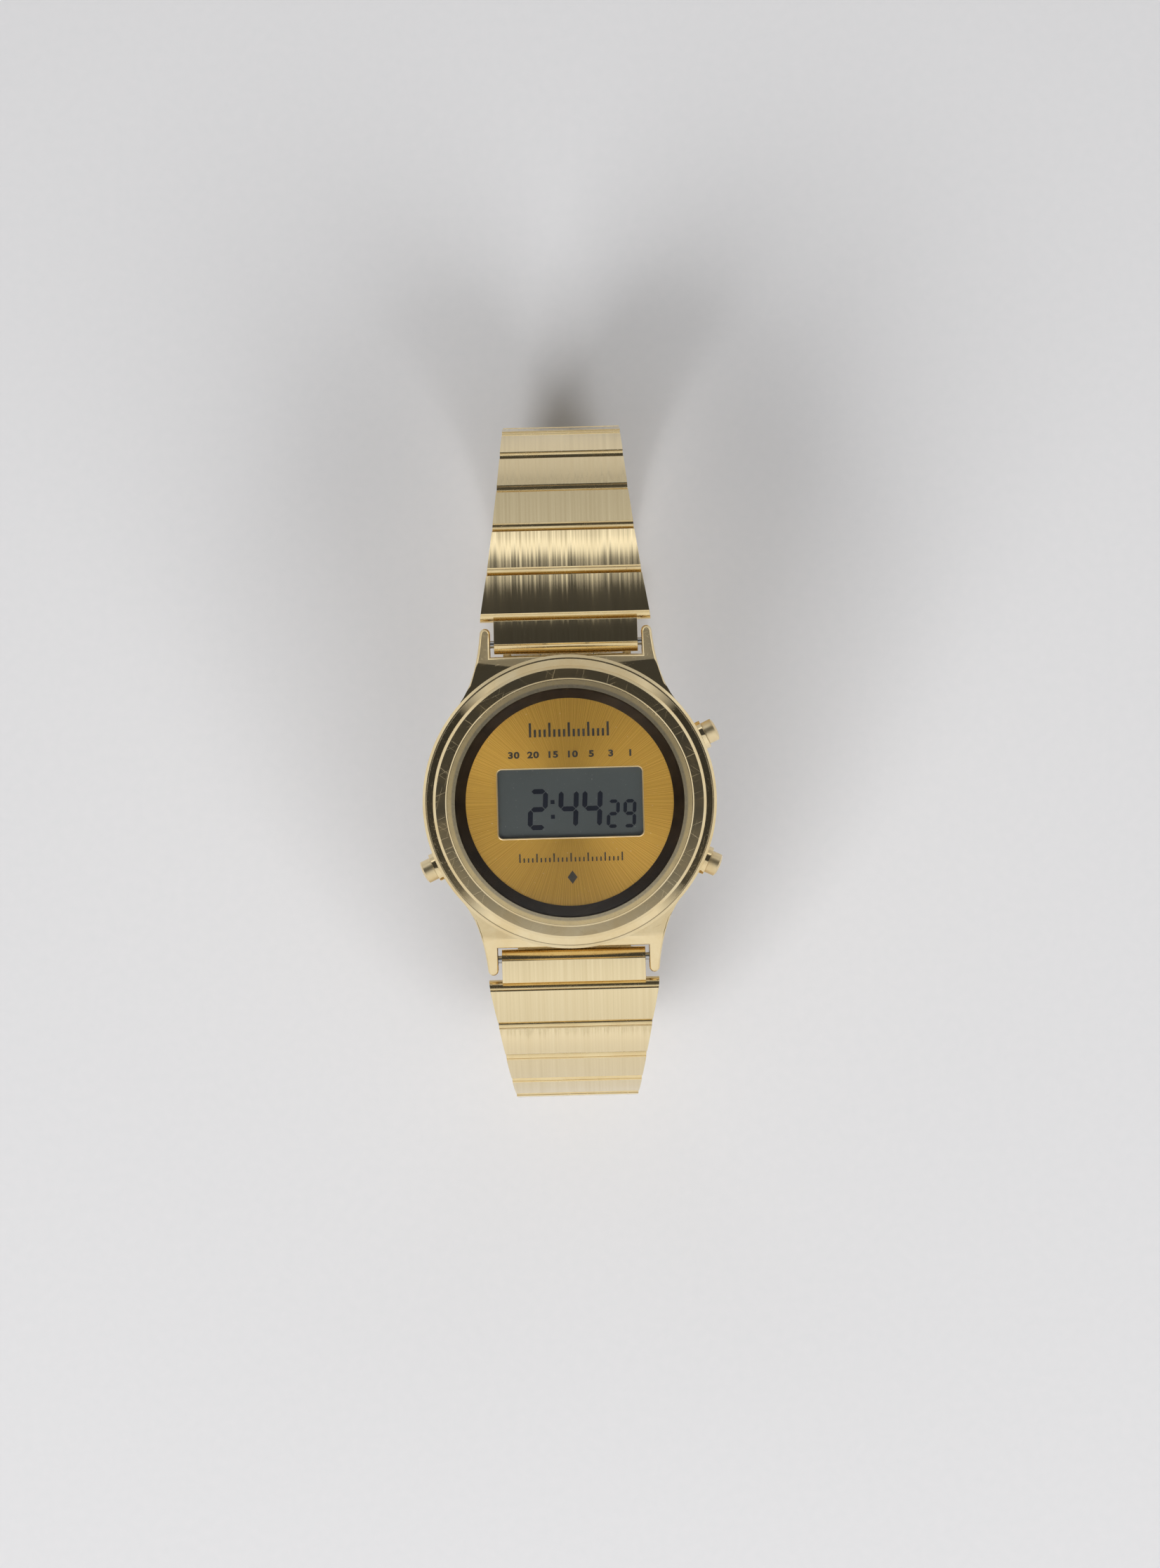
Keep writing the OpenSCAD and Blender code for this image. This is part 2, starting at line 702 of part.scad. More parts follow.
module upper_link(i) {
    color(BRUSHED) on_run(false, upper_tilts, i)
        link(taper_w(i - 1), taper_w(i), i == upper_links ? 1 : 0);
}

module lower_link(i) {
    color(BRUSHED) on_run(true, lower_run, i)
        link(taper_w(i - 1), taper_w(i), i == lower_links ? 2 : 0);
}

// Side view of the cover's side walls, round at both hinges
module wall_side() {
    translate([cover_pivot_y, 0]) square([clasp_bar_y - cover_pivot_y, 2 * cover_mid]);
    for (y = [cover_pivot_y, clasp_bar_y]) translate([y, cover_mid]) circle(cover_mid);
}

module clasp_cover() {
    color(GOLD) difference() {
        union() {
            intersection() {
                across(cover_w) wall_side();
                translate([-cover_w / 2, cover_pivot_y - cover_mid, 0])
                    cube([cover_w, floor_end - cover_pivot_y + cover_mid, cover_t]);
            }
            for (x = [-1, 1]) translate([x * (cover_w - cover_wall) / 2, 0, 0])
                across(cover_wall) wall_side();
        }
        translate([0, cover_pivot_y, cover_mid]) across(2 * cover_w) circle(clasp_pin_r + pin_fit);
        for (i = [0:2]) translate([0, clasp_bar_y - i * adjust_pitch, cover_mid])
            across(2 * cover_w) circle(clasp_bar_r + pin_fit);
    }
}

module clasp_bar() {
    color(STEEL) translate([0, clasp_bar_y, clasp_bar_z]) across(cover_w - pin_short) circle(clasp_bar_r);
}

module clasp_hinge_pin() {
    color(STEEL) translate([0, cover_pivot_y, cover_mid]) across(cover_w - pin_short) circle(clasp_pin_r);
}

module clasp_blade_1() {
    blade_l = knee_y - cover_pivot_y;
    color(STEEL) difference() {
        union() {
            translate([-blade_low_w / 2, cover_pivot_y, blade_low_z]) cube([blade_low_w, blade_l, blade_t]);
            translate([0, cover_pivot_y, cover_mid]) across(blade_low_w)
                circle(cover_mid - cover_t - side_gap);
            translate([0, knee_y, knee_z]) across(blade_low_w) circle(knee_r);
        }
        translate([0, cover_pivot_y, cover_mid]) across(cover_w) circle(clasp_pin_r + running);
        translate([0, knee_y, knee_z]) across(cover_w) circle(clasp_pin_r + pin_fit);
        translate([0, knee_y, knee_z]) across(knee_eye_w + 2 * side_gap)
            translate([-knee_r - hinge_gap, -2 * knee_r]) square(4 * knee_r);
    }
}

module clasp_knee_pin() {
    color(STEEL) translate([0, knee_y, knee_z]) across(blade_low_w - pin_short) circle(clasp_pin_r);
}

module clasp_blade_2() {
    wide_end = knee_y - knee_r - hinge_gap;
    color(STEEL) difference() {
        union() {
            translate([-blade_high_w / 2, blade_high_end, blade_high_z])
                cube([blade_high_w, wide_end - blade_high_end, blade_t]);
            translate([-knee_eye_w / 2, wide_end - knee_tab, blade_high_z])
                cube([knee_eye_w, knee_y - wide_end + knee_tab, blade_t]);
            translate([0, knee_y, knee_z]) across(knee_eye_w) circle(knee_r);
        }
        translate([0, knee_y, knee_z]) across(cover_w) circle(clasp_pin_r + running);
    }
}

watch_case();
bezel();
crystal();
crystal_gasket();
dial();
dial_ring();
display_panel();
contact_strips();
module_frame();
circuit_board();
display_lamp();
module_screws();
contact_springs();
battery();
battery_clip();
buzzer_disc();
case_back();
back_gasket();
pusher_tubes();
at_spring_bar(false) spring_bar();  // upper_spring_bar
at_spring_bar(true) spring_bar();  // lower_spring_bar
for (i = [0:2]) {
    pusher(pusher_turns[i]);
    pusher_clip(pusher_turns[i]);
}
end_piece(false, upper_tilts[0]);  // upper_end_piece
for (i = [1:upper_links]) upper_link(i);
end_piece(true, lower_run[0]);  // lower_end_piece
for (i = [1:lower_links]) lower_link(i);
clasp_cover();
clasp_bar();
clasp_hinge_pin();
clasp_blade_1();
clasp_knee_pin();
clasp_blade_2();
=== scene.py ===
"""Looks of a gold-tone digital bracelet watch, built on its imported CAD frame, in metres."""

import json
import math

import bmesh
import bpy
from mathutils import Matrix, Vector

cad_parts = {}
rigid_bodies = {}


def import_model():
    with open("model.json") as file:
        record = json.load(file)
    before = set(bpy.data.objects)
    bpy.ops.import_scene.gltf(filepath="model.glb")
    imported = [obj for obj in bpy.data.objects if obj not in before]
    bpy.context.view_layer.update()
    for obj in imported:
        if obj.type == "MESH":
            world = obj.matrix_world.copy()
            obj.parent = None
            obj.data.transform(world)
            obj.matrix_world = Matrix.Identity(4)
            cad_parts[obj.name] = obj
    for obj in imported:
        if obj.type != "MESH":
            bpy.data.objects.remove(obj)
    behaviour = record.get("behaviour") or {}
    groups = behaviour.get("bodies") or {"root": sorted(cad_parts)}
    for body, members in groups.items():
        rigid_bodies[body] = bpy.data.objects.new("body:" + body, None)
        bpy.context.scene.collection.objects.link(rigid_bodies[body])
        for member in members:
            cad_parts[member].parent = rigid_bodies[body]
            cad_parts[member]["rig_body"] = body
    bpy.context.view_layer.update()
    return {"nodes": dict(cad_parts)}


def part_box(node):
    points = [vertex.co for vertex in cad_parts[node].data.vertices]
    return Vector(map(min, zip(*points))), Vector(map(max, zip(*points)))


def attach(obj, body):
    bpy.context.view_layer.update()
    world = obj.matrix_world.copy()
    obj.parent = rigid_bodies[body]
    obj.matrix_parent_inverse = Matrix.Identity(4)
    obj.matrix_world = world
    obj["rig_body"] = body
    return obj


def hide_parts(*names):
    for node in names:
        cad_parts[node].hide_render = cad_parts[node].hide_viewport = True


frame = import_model()
nodes = frame["nodes"]


# Watch case: a round cast case with four lugs, ground, polished and gold plated. The wheel
# rounds its edges, and wear shows as hairlines and cloudy finger marks on a mirror finish.
MM = 0.001
HEAD_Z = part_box("case_back")[0].z
GOLD = (0.90, 0.75, 0.47, 1)
GOLD_DEEP = (0.84, 0.66, 0.37, 1)
SAME_POINT = 0.0002 * MM
FLAT, CREASE, SHARP_EDGE = math.radians(0.5), math.radians(20), math.radians(26)
COUNTED_TURN = math.radians(60)


def add_node(tree, kind, sockets=None, **settings):
    """A shader node with its settings made and its sockets set or linked."""
    node = tree.nodes.new("ShaderNode" + kind)
    for name, value in settings.items():
        setattr(node, name, value)
    for name, value in (sockets or {}).items():
        if isinstance(value, bpy.types.NodeSocket):
            tree.links.new(value, node.inputs[name])
        else:
            node.inputs[name].default_value = value
    return node


def work_out(tree, operation, *values):
    """One step of arithmetic on patterns and numbers."""
    return add_node(tree, "Math", dict(enumerate(values)), operation=operation).outputs["Value"]


def spread(tree, value, low, high, new_low=0.0, new_high=1.0):
    """The part of a pattern between low and high, stretched to new limits."""
    return add_node(tree, "MapRange", {"Value": value, "From Min": low, "From Max": high,
                                       "To Min": new_low, "To Max": new_high}).outputs["Result"]


def tint(tree, share, first, second):
    """A colour between two colours, by a pattern."""
    return add_node(tree, "Mix", {0: share, 6: first, 7: second}, data_type="RGBA").outputs[2]


def relief(tree, height, strength, depth, cut_in=False, base=None):
    """The normal of a surface on which a pattern stands up, or into which it is cut."""
    bump = add_node(tree, "Bump", {"Height": height, "Strength": strength, "Distance": depth},
                    invert=cut_in)
    if base:
        tree.links.new(base, bump.inputs["Normal"])
    return bump.outputs["Normal"]


def new_finish(name, **sockets):
    """An empty material with one shader, and that shader's uniform values."""
    finish = bpy.data.materials.new(name)
    finish.use_nodes = True
    tree = finish.node_tree
    tree.nodes.clear()
    shader = add_node(tree, "BsdfPrincipled", {key.replace("_", " "): value
                                               for key, value in sockets.items()})
    add_node(tree, "OutputMaterial", {"Surface": shader.outputs["BSDF"]})
    return finish, tree, shader


def feed(tree, shader, **patterns):
    """Leads patterns to the shader's sockets of the same names."""
    for name, pattern in patterns.items():
        tree.links.new(pattern, shader.inputs[name.replace("_", " ")])


def new_pattern(name, inputs, outputs):
    """An empty node group with number sockets, for a pattern that several finishes share."""
    group = bpy.data.node_groups.new(name, "ShaderNodeTree")
    for socket in inputs:
        group.interface.new_socket(socket, in_out="INPUT", socket_type="NodeSocketFloat")
    for socket in outputs:
        group.interface.new_socket(socket, in_out="OUTPUT", socket_type="NodeSocketFloat")
    return group, group.nodes.new("NodeGroupInput"), group.nodes.new("NodeGroupOutput")


def streaks_along(tree, turn, scale, stretch):
    """Noise drawn out into long thin lines, turned in the dial's plane and just off it."""
    place = add_node(tree, "TexCoord").outputs["Object"]
    lie = add_node(tree, "Mapping", {"Vector": place, "Rotation": (0.02, 0.03, turn),
                                     "Scale": (1, 1 / stretch, 1 / stretch)},
                   vector_type="TEXTURE")
    return add_node(tree, "TexNoise", {"Vector": lie.outputs["Vector"], "Scale": scale,
                                       "Detail": 2.0, "Roughness": 0.5}).outputs["Fac"]


def make_wear_marks():
    """Node group: hairline scratches in three directions, and cloudy finger marks."""
    group, start, end = new_pattern("wear_marks", ["Hairline scale", "Cloud scale"],
                                    ["Hairlines", "Clouds"])
    lines = []
    for turn in (0.4, 1.3, 2.5):
        streaks = streaks_along(group, turn, start.outputs["Hairline scale"], stretch=70)
        lines.append(spread(group, streaks, 0.66, 0.72))
    hairlines = work_out(group, "MAXIMUM", work_out(group, "MAXIMUM", *lines[:2]), lines[2])
    place = add_node(group, "TexCoord").outputs["Object"]
    clouds = add_node(group, "TexNoise", {"Vector": place, "Scale": start.outputs["Cloud scale"],
                                          "Detail": 5.0, "Roughness": 0.62, "Distortion": 0.4})
    group.links.new(hairlines, end.inputs["Hairlines"])
    group.links.new(spread(group, clouds.outputs["Fac"], 0.36, 0.66), end.inputs["Clouds"])
    return group


wear_marks = make_wear_marks()


def marks_in(tree, hairline_scale, cloud_scale):
    """The wear marks placed in a finish, as its two masks."""
    marks = add_node(tree, "Group", node_tree=wear_marks)
    marks.inputs["Hairline scale"].default_value = hairline_scale
    marks.inputs["Cloud scale"].default_value = cloud_scale
    return marks.outputs["Hairlines"], marks.outputs["Clouds"]


def polished_plating(name, colour, deep, clean=0.06, cloudy=0.15):
    """Polished gold plating: hairlines scatter the light, and finger marks dull it."""
    finish, tree, shader = new_finish(name, Metallic=1.0)
    hairlines, clouds = marks_in(tree, hairline_scale=90.0, cloud_scale=260.0)
    dull = spread(tree, clouds, 0, 1, clean, cloudy)
    feed(tree, shader, Base_Color=tint(tree, clouds, colour, deep),
         Roughness=work_out(tree, "MULTIPLY_ADD", hairlines, 0.12, dull),
         Normal=relief(tree, hairlines, strength=0.15, depth=0.002 * MM, cut_in=True))
    return finish


def piece_from(shape, name, finish):
    """A new piece in one finish, from a shape that has been worked out."""
    mesh = bpy.data.meshes.new(name)
    shape.to_mesh(mesh)
    shape.free()
    mesh.materials.append(finish)
    piece = bpy.data.objects.new(name, mesh)
    bpy.context.scene.collection.objects.link(piece)
    return piece


def show_on(piece, body):
    """The piece rides on a body."""
    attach(piece, body)


def show_for(piece, node_name):
    """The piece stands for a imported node, and rides on that node's body."""
    show_on(piece, nodes[node_name]["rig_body"])
    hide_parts(node_name)


def face_normals_lead(mesh):
    """Corner normals by the area of the faces round them, so that flats shade flat.

    Faces across a sharp edge, or turned more than 60 degrees away, don't count.
    """
    shape = bmesh.new()
    shape.from_mesh(mesh)
    shape.faces.ensure_lookup_table()
    weighted = [face.normal * face.calc_area() / MM ** 2 for face in shape.faces]
    least_alike = math.cos(COUNTED_TURN)
    normals = []
    for face in shape.faces:
        for corner in face.loops:
            fan = {face.index}
            step = corner
            while step.edge.smooth and step.edge.is_manifold:
                step = step.link_loop_radial_next.link_loop_next
                if step == corner:
                    break
                fan.add(step.face.index)
            step = corner
            while step.link_loop_prev.edge.smooth and step.link_loop_prev.edge.is_manifold:
                step = step.link_loop_prev.link_loop_radial_next
                if step == corner:
                    break
                fan.add(step.face.index)
            lead = sum((weighted[i] for i in fan
                        if shape.faces[i].normal.dot(face.normal) > least_alike), Vector())
            normals.append(lead.normalized() if lead.length > 0 else face.normal.copy())
    shape.free()
    mesh.shade_smooth()
    mesh.normals_split_custom_set(normals)


def softened(node_name, piece_name, finish, rounding, steps=2, outline=None):
    """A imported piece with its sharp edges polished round, shown in that piece's place.

    With an outline, only the edges that it picks are rounded, and to the full width. Other
    creases stay crisp, and flat faces shade flat.
    """
    shape = bmesh.new()
    shape.from_mesh(nodes[node_name].data)
    bmesh.ops.remove_doubles(shape, verts=shape.verts, dist=SAME_POINT)
    bmesh.ops.dissolve_limit(shape, angle_limit=FLAT, verts=shape.verts, edges=shape.edges)
    rounded = shape.edges.layers.float.new("bevel_weight_edge")
    for edge in shape.edges:
        turn = edge.calc_face_angle(0)
        picked = outline(edge) if outline else turn > SHARP_EDGE
        edge[rounded] = float(picked)
        edge.smooth = picked or turn < CREASE
    piece = piece_from(shape, piece_name, finish)
    bevel = piece.modifiers.new("rounded edges", "BEVEL")
    bevel.width = rounding
    bevel.segments = steps
    bevel.limit_method = "WEIGHT" if outline else "ANGLE"
    bevel.angle_limit = SHARP_EDGE
    bevel.use_clamp_overlap = not outline
    seen = piece.evaluated_get(bpy.context.evaluated_depsgraph_get())
    piece.data = bpy.data.meshes.new_from_object(seen)
    piece.modifiers.clear()
    face_normals_lead(piece.data)
    show_for(piece, node_name)
    return piece


# Least turn, height, place along the bracelet and radius of the edges that are rounded
OUTLINE_TURN = math.radians(55)
OUTLINE_Z, OUTLINE_Y, OUTLINE_R = HEAD_Z + 2.4 * MM, 12.2 * MM, 15.45 * MM


def lug_outline(edge):
    """The long upper edges of the lugs and of the wall between them."""
    middle = (edge.verts[0].co + edge.verts[1].co) / 2
    return (edge.is_convex and edge.calc_face_angle(0) > OUTLINE_TURN
            and min(vert.co.z for vert in edge.verts) > OUTLINE_Z
            and abs(middle.y) > OUTLINE_Y and middle.xy.length > OUTLINE_R)


polished_gold = polished_plating("polished_gold_plating", GOLD, GOLD_DEEP)
softened("watch_case", "case_polished", polished_gold, rounding=0.26 * MM,
         steps=4, outline=lug_outline)

# Pusher tubes: three turned tubes pressed into the case wall, each with a thin collar that
# lies against it. They are plated and polished with the case.
softened("pusher_tubes", "pusher_collars", polished_gold, rounding=0.04 * MM)

# Push buttons: turned caps on thin stems, domed a little at the rim, with a satin polish.
# Each slides in its tube, held by a sprung clip inside the case.
button_gold = polished_plating("satin_button_plating", GOLD, GOLD_DEEP, clean=0.36, cloudy=0.46)
for side in ("upper_right", "lower_right", "lower_left"):
    softened(side + "_pusher", side + "_button", button_gold,
             rounding=0.06 * MM)


def plain_metal(name, colour, rough, grain_scale, stretch, turn=0.0):
    """Unplated metal with a fine grain, drawn out where the sheet was rolled."""
    finish, tree, shader = new_finish(name, Metallic=1.0)
    grain = streaks_along(tree, turn, grain_scale, stretch)
    darker = tuple(0.78 * part for part in colour[:3]) + (1,)
    feed(tree, shader, Base_Color=tint(tree, grain, darker, colour),
         Roughness=spread(tree, grain, 0.3, 0.7, 0.7 * rough, 1.3 * rough),
         Normal=relief(tree, grain, strength=0.2, depth=0.01 * MM))
    return finish


def give_finish(finish, *node_names):
    """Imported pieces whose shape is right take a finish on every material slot."""
    for name in node_names:
        for place in nodes[name].material_slots:
            place.material = finish


plain_steel = plain_metal("turned_steel", (0.60, 0.60, 0.60, 1), rough=0.30,
                          grain_scale=1400.0, stretch=6.0)
give_finish(plain_steel, "upper_right_clip", "lower_right_clip", "lower_left_clip")

# Module frame: an ivory plastic moulding that carries the display, board and cell, with a
# faint moulded grain. The display's lamp, a paler moulding, sits beside the panel.


def noise(tree, scale, detail):
    """An even noise all over the piece."""
    place = add_node(tree, "TexCoord").outputs["Object"]
    return add_node(tree, "TexNoise", {"Vector": place, "Scale": scale,
                                       "Detail": detail}).outputs["Fac"]


def moulded_plastic(name, colour, rough):
    """Moulded plastic with a fine grain and a slight change of shade."""
    finish, tree, shader = new_finish(name)
    grain, shade = noise(tree, 2500.0, 3.0), noise(tree, 150.0, 2.0)
    darker = tuple(0.82 * part for part in colour[:3]) + (1,)
    feed(tree, shader, Base_Color=tint(tree, shade, darker, colour),
         Roughness=spread(tree, grain, 0.3, 0.7, rough - 0.06, rough + 0.08),
         Normal=relief(tree, grain, strength=0.3, depth=0.02 * MM))
    return finish


ivory = moulded_plastic("ivory_moulding", (0.80, 0.77, 0.68, 1), rough=0.45)
lamp_white = moulded_plastic("lamp_body", (0.90, 0.88, 0.80, 1), rough=0.20)
give_finish(ivory, "module_frame")
give_finish(lamp_white, "display_lamp")

# Circuit board: green solder mask over copper tracks, which show as paler bands. Brass
# leaves touch the pushers, a steel clip touches the cell, and three screws hold the board.
# The sounder is a thin brass disc on the case back.


def solder_mask():
    """Green board with paler square tracks under the mask."""
    finish, tree, shader = new_finish("solder_mask", Coat_Weight=0.4, Coat_Roughness=0.15)
    place = add_node(tree, "TexCoord").outputs["Object"]
    tracks = add_node(tree, "TexBrick", {"Vector": place, "Scale": 420.0, "Mortar Size": 0.03,
                                         "Color1": (1, 1, 1, 1), "Color2": (0.7, 0.7, 0.7, 1),
                                         "Mortar": (0, 0, 0, 1)}).outputs
    feed(tree, shader, Base_Color=tint(tree, tracks["Color"], (0.10, 0.36, 0.17, 1),
                                       (0.04, 0.22, 0.10, 1)),
         Roughness=spread(tree, tracks["Fac"], 0, 1, 0.45, 0.32))
    return finish


give_finish(solder_mask(), "circuit_board")
sheet_brass = plain_metal("sheet_brass", (0.78, 0.60, 0.28, 1), rough=0.28, grain_scale=900.0,
                          stretch=12.0)
give_finish(sheet_brass, "contact_springs", "buzzer_disc")
give_finish(plain_steel, "module_screws", "battery_clip")

# Contact strips and back gasket: matt black rubber. The strips are cut, and stand squeezed
# between board and display. The gasket is moulded, and seals the case back.


def black_rubber():
    """Matt black rubber with a dusty bloom."""
    finish, tree, shader = new_finish("black_rubber")
    bloom = noise(tree, 700.0, 6.0)
    feed(tree, shader, Base_Color=tint(tree, spread(tree, bloom, 0.4, 0.8),
                                       (0.025, 0.025, 0.026, 1), (0.06, 0.06, 0.06, 1)),
         Roughness=spread(tree, bloom, 0.3, 0.7, 0.5, 0.7),
         Normal=relief(tree, bloom, strength=0.4, depth=0.01 * MM))
    return finish


give_finish(black_rubber(), "contact_strips", "back_gasket")

# Battery: a coin cell in a bright steel can with pressed edges. It drops into the module
# frame, and its clip rubs fine marks on it.
cell_can = plain_metal("cell_can", (0.72, 0.72, 0.73, 1), rough=0.16, grain_scale=700.0,
                       stretch=3.0)
give_finish(cell_can, "battery")

# Display panel: a grey liquid crystal between two sheets of glass. Unlit segments don't show,
# and the face carries fine dust.


def display_glass():
    """Slate grey display glass with dust specks and a faint cloud."""
    finish, tree, shader = new_finish("display_glass", Specular_IOR_Level=0.35)
    dust, cloud = noise(tree, 5200.0, 2.0), noise(tree, 190.0, 3.0)
    slate = tint(tree, cloud, (0.044, 0.051, 0.050, 1), (0.052, 0.060, 0.059, 1))
    feed(tree, shader, Base_Color=tint(tree, spread(tree, dust, 0.70, 0.80, 0.0, 0.5), slate,
                                       (0.25, 0.25, 0.23, 1)),
         Roughness=spread(tree, cloud, 0.3, 0.7, 0.28, 0.34))
    return finish


give_finish(display_glass(), "display_panel")

# Display digits: dark liquid crystal segments, 2:44 in large figures and 29 in small ones.
# Each is a thin plate with pointed ends, and the figures lean a little. Sizes are in mm.
PANEL_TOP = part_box("display_panel")[1].z
SEGMENTS = {"2": "abged", "4": "fgbc", "9": "abcdfg"}
SEGMENT_GAP, FIGURE_LEAN = 0.05, 0.05
LARGE_Y, LARGE_HEIGHT, LARGE_STROKE = -0.74, 4.33, 0.52
SMALL_Y, SMALL_HEIGHT, SMALL_STROKE = -1.37, 3.0, 0.37
DOT_X, DOT_WIDTH = -1.81, 0.42


def flat_plates(piece_name, outlines, low, high, finish):
    """Thin plates on the head from outlines in millimetres, between two heights in metres."""
    shape = bmesh.new()
    for outline in outlines:
        bottom = [shape.verts.new((x * MM, y * MM, low)) for x, y in outline]
        top = [shape.verts.new((x * MM, y * MM, high)) for x, y in outline]
        shape.faces.new(top)
        shape.faces.new(bottom[::-1])
        for i in range(len(outline)):
            j = (i + 1) % len(outline)
            shape.faces.new((bottom[i], bottom[j], top[j], top[i]))
    show_on(piece_from(shape, piece_name, finish), "head")


def block(x, y, width, height):
    """The outline of an upright rectangle about a point."""
    return [(x - width / 2, y - height / 2), (x + width / 2, y - height / 2),
            (x + width / 2, y + height / 2), (x - width / 2, y + height / 2)]


def figure_outlines(figure, x_middle, y_middle, width, height, stroke):
    """The lit segments of one figure as pointed bars, leaning to the right."""
    tip = stroke / 2
    half_w, half_h = (width - stroke) / 2, (height - stroke) / 2
    across = {"a": half_h, "g": 0, "d": -half_h}
    upright = {"b": (half_w, 1), "c": (half_w, -1), "f": (-half_w, 1), "e": (-half_w, -1)}
    outlines = []
    for name in SEGMENTS[figure]:
        if name in across:
            y, reach = across[name], half_w - SEGMENT_GAP
            points = [(-reach, y), (-reach + tip, y - tip), (reach - tip, y - tip), (reach, y),
                      (reach - tip, y + tip), (-reach + tip, y + tip)]
        else:
            x, way = upright[name]
            low, high = sorted((way * SEGMENT_GAP, way * (half_h - SEGMENT_GAP)))
            points = [(x, low), (x + tip, low + tip), (x + tip, high - tip), (x, high),
                      (x - tip, high - tip), (x - tip, low + tip)]
        outlines.append([(x_middle + x + FIGURE_LEAN * y, y_middle + y) for x, y in points])
    return outlines


def lit_segments():
    """Dark blue-black segments with a slight change of depth."""
    finish, tree, shader = new_finish("lit_segments", Specular_IOR_Level=0.1)
    depth = noise(tree, 600.0, 2.0)
    feed(tree, shader, Base_Color=tint(tree, depth, (0.006, 0.007, 0.011, 1),
                                       (0.012, 0.013, 0.020, 1)),
         Roughness=spread(tree, depth, 0.3, 0.7, 0.3, 0.4))
    return finish


lit = []
for figure, x, width in (("2", -3.38, 2.07), ("4", -0.16, 2.12), ("4", 2.36, 2.12)):
    lit += figure_outlines(figure, x, LARGE_Y, width, LARGE_HEIGHT, LARGE_STROKE)
for figure, x, width in (("2", 4.56, 1.34), ("9", 6.30, 1.36)):
    lit += figure_outlines(figure, x, SMALL_Y, width, SMALL_HEIGHT, SMALL_STROKE)
for y in (0.02, -1.54):
    lit.append(block(DOT_X, y, DOT_WIDTH, DOT_WIDTH))
flat_plates("display_digits", lit, PANEL_TOP + 0.005 * MM, PANEL_TOP + 0.02 * MM,
            lit_segments())

# Dial: a thin brass plate, plated, brushed in rays from its middle and lacquered. A polished
# bevel frames its window.
DIAL_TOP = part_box("dial")[1].z
WINDOW_MIDDLE = (0.06, -0.1)
# The frame's loops in mm: width, height, corner radius, height over the dial
FRAME_LOOPS = [(15.5, 7.5, 0.6, 0.0), (15.5, 7.5, 0.6, 0.015), (15.43, 7.43, 0.56, 0.03),
               (15.26, 7.26, 0.48, -0.03), (15.26, 7.26, 0.48, -0.2)]
CORNER_STEPS = 8


def make_sun_rays():
    """Node group: fine and broad rays that run out from the middle of the dial."""
    group, start, end = new_pattern("sun_rays", ["Rays"], ["Fine", "Broad"])
    place = add_node(group, "TexCoord").outputs["Object"]
    turn = add_node(group, "TexGradient", {"Vector": place}, gradient_type="RADIAL")
    for output, share in (("Fine", 1.0), ("Broad", 0.12)):
        count = work_out(group, "MULTIPLY", start.outputs["Rays"], share)
        rays = add_node(group, "TexNoise", {"W": turn.outputs["Fac"], "Detail": 3.0,
                                            "Scale": count}, noise_dimensions="1D")
        group.links.new(spread(group, rays.outputs["Fac"], 0.3, 0.7), end.inputs[output])
    return group


def sunray_dial():
    """Rayed gold plate under clear lacquer, with tiny specks of dust."""
    finish, tree, shader = new_finish("sunray_dial", Metallic=0.85, Anisotropic=0.9)
    rays = add_node(tree, "Group", node_tree=make_sun_rays())
    rays.inputs["Rays"].default_value = 700.0
    fine, broad = rays.outputs["Fine"], rays.outputs["Broad"]
    gold = tint(tree, fine, (0.47, 0.265, 0.044, 1), (0.70, 0.42, 0.082, 1))
    specks = spread(tree, noise(tree, 4200.0, 1.0), 0.74, 0.82, 0, 0.5)
    grooves = add_node(tree, "Tangent", direction_type="RADIAL", axis="Z")
    feed(tree, shader, Base_Color=tint(tree, specks, gold, (0.85, 0.72, 0.45, 1)),
         Roughness=spread(tree, broad, 0, 1, 0.40, 0.50),
         Normal=relief(tree, fine, strength=0.3, depth=0.006 * MM),
         Tangent=grooves.outputs["Tangent"])
    return finish


give_finish(sunray_dial(), "dial")


def rounded_rectangle(width, height, radius):
    """Corner points of a rounded rectangle about the middle, anticlockwise."""
    points = []
    for corner, (x, y) in enumerate(((1, 1), (-1, 1), (-1, -1), (1, -1))):
        for step in range(CORNER_STEPS + 1):
            turn = math.radians(90 * corner + 90 * step / CORNER_STEPS)
            points.append((x * (width / 2 - radius) + radius * math.cos(turn),
                           y * (height / 2 - radius) + radius * math.sin(turn)))
    return points


def window_frame():
    """The bevelled and polished frame round the window, as a closed band."""
    shape = bmesh.new()
    rows = [[shape.verts.new(((x + WINDOW_MIDDLE[0]) * MM, (y + WINDOW_MIDDLE[1]) * MM,
                              DIAL_TOP + z * MM))
             for x, y in rounded_rectangle(width, height, radius)]
            for width, height, radius, z in FRAME_LOOPS]
    count = len(rows[0])
    for low, high in zip(rows, rows[1:] + rows[:1]):
        for i in range(count):
            j = (i + 1) % count
            shape.faces.new((low[i], low[j], high[j], high[i]))
    frame_gold = polished_plating("window_frame_gold", (0.92, 0.78, 0.50, 1),
                                  (0.86, 0.70, 0.42, 1), clean=0.34, cloudy=0.42)
    show_on(piece_from(shape, "window_frame", frame_gold), "head")


window_frame()

